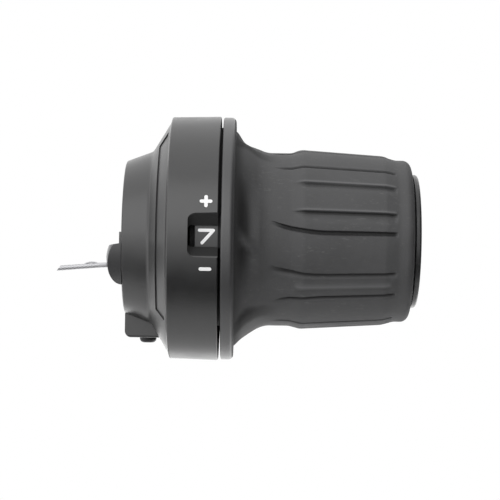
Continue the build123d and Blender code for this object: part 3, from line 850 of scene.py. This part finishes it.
def add_range(group, value, low, high):
    """Value stretched so that low becomes 0 and high becomes 1."""
    node = group.nodes.new("ShaderNodeMapRange")
    node.interpolation_type = "SMOOTHSTEP"
    node.inputs["From Min"].default_value = low
    node.inputs["From Max"].default_value = high
    group.links.new(value, node.inputs["Value"])
    return node.outputs["Result"]


# %% [markdown]
# The grain gives a height for a bump and, from a much broader noise, a tone. Dust is specks, and a broader
# noise thins them out to patches.

# %% Grain and dust
tone_share = 0.03
patch_share = 0.07
grain, grain_in, grain_out = new_group("moulded_grain", ["Scale"], ["Height", "Tone"])
pits = add_noise(grain, grain_in.outputs["Scale"], detail=3.0, roughness=0.55)
grain.links.new(pits, grain_out.inputs["Height"])
tone_scale = add_math(grain, "MULTIPLY", grain_in.outputs["Scale"], tone_share)
tone = add_range(grain, add_noise(grain, tone_scale, detail=4.0, roughness=0.6), low=0.3, high=0.7)
grain.links.new(tone, grain_out.inputs["Tone"])

dust, dust_in, dust_out = new_group("dust_film", ["Scale"], ["Mask"])
specks = add_noise(dust, dust_in.outputs["Scale"], detail=5.0, roughness=0.7, draw_out=3.0)
specks = add_range(dust, specks, low=0.54, high=0.74)
patch_scale = add_math(dust, "MULTIPLY", dust_in.outputs["Scale"], patch_share)
patches = add_noise(dust, patch_scale, detail=3.0, roughness=0.5, draw_out=2.0)
patches = add_range(dust, patches, low=0.4, high=0.62)
dust.links.new(add_math(dust, "MULTIPLY", specks, patches), dust_out.inputs["Mask"])
print("node groups:", grain.name, dust.name)


# %% [markdown]
# ## Finishes
# Every material is built the same way: the grain changes the tone and the roughness a little and drives a
# bump, and dust lightens the colour where a surface holds it. Scales are per metre, so a grain scale of
# 5000 gives detail of about a fifth of a millimetre.

# %% Shared finish
def finish(name, colour, pale, rough, grain_scale, bump, metal=0.0, gloss=0.5, powder=None):
    """Material whose colour runs from colour to pale and its roughness over a pair; powder is its dust."""
    material = bpy.data.materials.new(name)
    material.use_nodes = True
    tree = material.node_tree
    shader = tree.nodes["Principled BSDF"]
    shader.inputs["Metallic"].default_value = metal
    shader.inputs["Specular IOR Level"].default_value = gloss
    texture = tree.nodes.new("ShaderNodeGroup")
    texture.node_tree = grain
    texture.inputs["Scale"].default_value = grain_scale
    tint = tree.nodes.new("ShaderNodeMix")
    tint.data_type = "RGBA"
    tint.inputs["A"].default_value = (*colour, 1.0)
    tint.inputs["B"].default_value = (*pale, 1.0)
    tree.links.new(texture.outputs["Tone"], tint.inputs["Factor"])
    result = tint.outputs["Result"]
    if powder is not None:
        film = tree.nodes.new("ShaderNodeGroup")
        film.node_tree = dust
        film.inputs["Scale"].default_value = powder["scale"]
        dusted = tree.nodes.new("ShaderNodeMix")
        dusted.data_type = "RGBA"
        dusted.inputs["B"].default_value = (*powder["colour"], 1.0)
        tree.links.new(film.outputs["Mask"], dusted.inputs["Factor"])
        tree.links.new(result, dusted.inputs["A"])
        result = dusted.outputs["Result"]
    tree.links.new(result, shader.inputs["Base Color"])
    spread = tree.nodes.new("ShaderNodeMapRange")
    spread.inputs["To Min"].default_value = rough[0]
    spread.inputs["To Max"].default_value = rough[1]
    tree.links.new(texture.outputs["Tone"], spread.inputs["Value"])
    tree.links.new(spread.outputs["Result"], shader.inputs["Roughness"])
    relief = tree.nodes.new("ShaderNodeBump")
    relief.inputs["Strength"].default_value = 1.0
    relief.inputs["Distance"].default_value = bump * MM
    tree.links.new(texture.outputs["Height"], relief.inputs["Height"])
    tree.links.new(relief.outputs["Normal"], shader.inputs["Normal"])
    return material


def grey(value, tint=1.03):
    """Neutral colour of a level, a touch cool."""
    return (value, value, value * tint)


# %% [markdown]
# Some pieces have a second finish in places: painted shade inside the drum, the polished rim of the flange.
# A second material on some faces would end at the edges of faces, so a mask is used: a ring round the bar,
# or a value that the mesh carries at its points.

# %% Second finish and painted shade in places
beyond = 30.0


def ring_mask(material, radii, reach):
    """1 between two radii from the bar's axis and two places along it, and 0 elsewhere."""
    tree = material.node_tree
    split = tree.nodes.new("ShaderNodeSeparateXYZ")
    tree.links.new(tree.nodes.new("ShaderNodeTexCoord").outputs["Object"], split.inputs[0])
    across = add_math(tree, "MULTIPLY", split.outputs["Y"], split.outputs["Y"])
    upright = add_math(tree, "MULTIPLY", split.outputs["Z"], split.outputs["Z"])
    away = add_math(tree, "SQRT", add_math(tree, "ADD", across, upright), 0.0)
    mask = 1.0
    for value, (least, most) in ((away, radii), (split.outputs["X"], reach)):
        mask = add_math(tree, "MULTIPLY", mask, add_math(tree, "GREATER_THAN", value, least * MM))
        mask = add_math(tree, "MULTIPLY", mask, add_math(tree, "LESS_THAN", value, most * MM))
    return mask


def point_mask(material, title):
    """The mask of that name which a mesh carries at its points."""
    stored = material.node_tree.nodes.new("ShaderNodeAttribute")
    stored.attribute_name = title
    return stored.outputs["Fac"]


def refinish(material, mask, colour, rough):
    """Another colour and roughness where a mask is 1."""
    tree = material.node_tree
    shader = tree.nodes["Principled BSDF"]
    for socket, value, kind in (("Base Color", (*colour, 1.0), "RGBA"), ("Roughness", rough, "FLOAT")):
        change = tree.nodes.new("ShaderNodeMix")
        change.data_type = kind
        tree.links.new(mask, change.inputs["Factor"])
        tree.links.new(shader.inputs[socket].links[0].from_socket, change.inputs["A"])
        change.inputs["B"].default_value = value
        tree.links.new(change.outputs["Result"], shader.inputs[socket])


# %% [markdown]
# ## Plastics
# The housing is moulded with a fine sheen, the boss and the end ring are smoother, and the numbered strip is
# a little paler. Inside the drum, and on the strip's edge behind the window, shade is painted nearly black,
# so that no light seems to leak in.

# %% Plastics
drum_skin = 0.35
x_drum = 12.0
x_strip_edge = 21.4
housing_plastic = finish(
    "housing_plastic", grey(0.015), grey(0.019), rough=(0.28, 0.34), grain_scale=5200, bump=0.02, gloss=0.8
)
# Painted shade: the inside of the drum is darkened nearly to black.
drum_painted_shade = ring_mask(housing_plastic, (0.0, drum_radius - drum_skin), (x_drum, beyond))
refinish(housing_plastic, drum_painted_shade, grey(0.006), rough=0.95)
boss_plastic = finish(
    "boss_plastic", grey(0.05), grey(0.056), rough=(0.2, 0.26), grain_scale=3000, bump=0.006, gloss=0.75
)
inner_plastic = finish(
    "inner_plastic", grey(0.01), grey(0.013), rough=(0.5, 0.58), grain_scale=3000, bump=0.01, gloss=0.3
)
indicator_plastic = finish(
    "indicator_plastic", grey(0.034), grey(0.04), rough=(0.34, 0.42), grain_scale=4200, bump=0.02, gloss=0.6
)
# Painted shadow: the strip's edge behind the window is darkened nearly to black.
strip_edge_painted_shadow = ring_mask(indicator_plastic, (0.0, beyond), (x_strip_edge, beyond))
refinish(indicator_plastic, strip_edge_painted_shadow, grey(0.004), rough=0.9)
end_plastic = finish(
    "end_plastic", grey(0.03), grey(0.034), rough=(0.24, 0.32), grain_scale=3000, bump=0.008
)
white_nylon = finish(
    "white_nylon", (0.76, 0.75, 0.7), (0.8, 0.79, 0.74), rough=(0.4, 0.5), grain_scale=2500, bump=0.01
)
print("nodes of the housing plastic:", len(housing_plastic.node_tree.nodes))

# %% [markdown]
# ## Rubber
# The rubber is matte with a little dust. The flange's rim is polished by the fingers. A painted highlight
# lightens the crests, and painted shade darkens what lies deep.

# %% Rubber
rim_radius = 25.2
rim_edge = 0.3
powder = {"scale": 1500, "colour": grey(0.09, 1.0)}
rubber = finish(
    "grip_rubber",
    grey(0.042),
    grey(0.06),
    rough=(0.62, 0.76),
    grain_scale=4300,
    bump=0.05,
    gloss=0.7,
    powder=powder,
)
flange_rim = ring_mask(rubber, (rim_radius, beyond), (0.0, x_flare - rim_edge))
refinish(rubber, flange_rim, grey(0.05), rough=0.3)
# Painted highlight: the crests and the bead's ridge are lightened.
refinish(rubber, point_mask(rubber, "painted_highlight"), grey(0.1), rough=0.6)
# Painted shade: what lies deep is darkened nearly to black.
refinish(rubber, point_mask(rubber, "painted_shade"), grey(0.008), rough=0.8)
print("nodes of the rubber:", len(rubber.node_tree.nodes))

# %% [markdown]
# ## Metals and ink
# The clamp screw is blackened steel, which keeps part of its metal shine. The nut, the washer under the
# screw's head, the spool's screws and the wire are bright, and the springs slightly blue. The ink is white.

# %% Metals and ink
black_steel = finish(
    "black_steel", grey(0.025), grey(0.035), rough=(0.32, 0.46), grain_scale=3500, bump=0.012, metal=0.6
)
plated_steel = finish(
    "plated_steel",
    grey(0.56, 1.04),
    grey(0.64, 1.04),
    rough=(0.24, 0.38),
    grain_scale=2600,
    bump=0.01,
    metal=1.0,
)
wire_steel = finish(
    "wire_steel", grey(0.42), grey(0.5), rough=(0.26, 0.4), grain_scale=4000, bump=0.008, metal=1.0
)
spring_steel = finish(
    "spring_steel",
    grey(0.42, 1.08),
    grey(0.5, 1.06),
    rough=(0.28, 0.4),
    grain_scale=3000,
    bump=0.01,
    metal=1.0,
)
white_ink = finish(
    "white_ink", (0.94, 0.94, 0.94), (0.97, 0.97, 0.97), rough=(0.5, 0.6), grain_scale=4000, bump=0.004
)
print("metals:", black_steel.name, plated_steel.name, wire_steel.name, spring_steel.name)

# %% [markdown]
# ## Finishes on the pieces
# Every piece of the frame gets its material, those that a new surface stands in for too, so that none keeps
# the plain look it came with.

# %% Finishes on the pieces
finishes = {
    housing_plastic: ["main_housing"],
    boss_plastic: ["cable_outlet"],
    inner_plastic: ["bearing_sleeve", "grip_core", "cable_liner", "cable_spool"],
    indicator_plastic: ["gear_indicator"],
    end_plastic: ["end_retainer"],
    rubber: ["grip_rubber"],
    white_nylon: ["cable_guide", "thrust_washer"],
    black_steel: ["clamp_screw"],
    plated_steel: ["clamp_nut", "screw_washer", "spool_screws", "cable_nipple"],
    wire_steel: ["shift_cable"],
    spring_steel: ["detent_spring", "retaining_ring", "spring_washer"],
}
for material, names in finishes.items():
    for name in names:
        nodes[name].data.materials.clear()
        nodes[name].data.materials.append(material)
grip_skin.data.materials.append(rubber)
threaded_screw.data.materials.append(black_steel)
wire_strands.data.materials.append(wire_steel)
gear_numbers.data.materials.append(white_ink)
twist_signs.data.materials.append(white_ink)
print("nodes with a finish:", sum(len(names) for names in finishes.values()))

# %% [markdown]
# ## Table
# A pale round table stands below and behind the part, low enough to keep out of the photo's view. Its rim
# fades into the surround, so that no edge shows from other sides.

# %% Table
table_level = -170.0
table_thickness = 4.0
table_foot = table_level - table_thickness
table_radius = 380.0
table_columns = 96
table_centre = (view_x, 250.0, table_level)
table_reach = np.array([0.0, table_radius, table_radius, 0.0])[:, None]
table_height = np.array([table_level, table_level, table_foot, table_foot])[:, None]
table_turn = np.radians(np.linspace(0.0, 360.0, table_columns, endpoint=False)[None])
table_x = table_centre[0] + table_reach * np.cos(table_turn)
table_y = table_centre[1] + table_reach * np.sin(table_turn)
table_grid = np.stack(np.broadcast_arrays(table_x, table_y, table_height), axis=-1)
table = lay_grids("table", [table_grid])

# %% [markdown]
# The fade is a mask of the distance from the table's middle, which drives Alpha.

# %% Card of the table
fade = 0.25
card = bpy.data.materials.new("pale_card")
card.use_nodes = True
tree = card.node_tree
matte = tree.nodes["Principled BSDF"]
matte.inputs["Base Color"].default_value = (0.86, 0.86, 0.86, 1.0)
matte.inputs["Roughness"].default_value = 0.9
place = tree.nodes.new("ShaderNodeTexCoord")
reach = tree.nodes.new("ShaderNodeVectorMath")
reach.operation = "DISTANCE"
reach.inputs[1].default_value = Vector(table_centre) * MM
tree.links.new(place.outputs["Object"], reach.inputs[0])
edge = tree.nodes.new("ShaderNodeMapRange")
edge.interpolation_type = "SMOOTHSTEP"
edge.inputs["From Min"].default_value = table_radius * (1.0 - fade) * MM
edge.inputs["From Max"].default_value = table_radius * MM
edge.inputs["To Min"].default_value = 1.0
edge.inputs["To Max"].default_value = 0.0
tree.links.new(reach.outputs["Value"], edge.inputs["Value"])
tree.links.new(edge.outputs["Result"], matte.inputs["Alpha"])
table.data.materials.append(card)
print("table radius in mm:", table_radius)

# %% [markdown]
# ## Size
# The view layer is brought up to date.

# %% Size
bpy.context.view_layer.update()
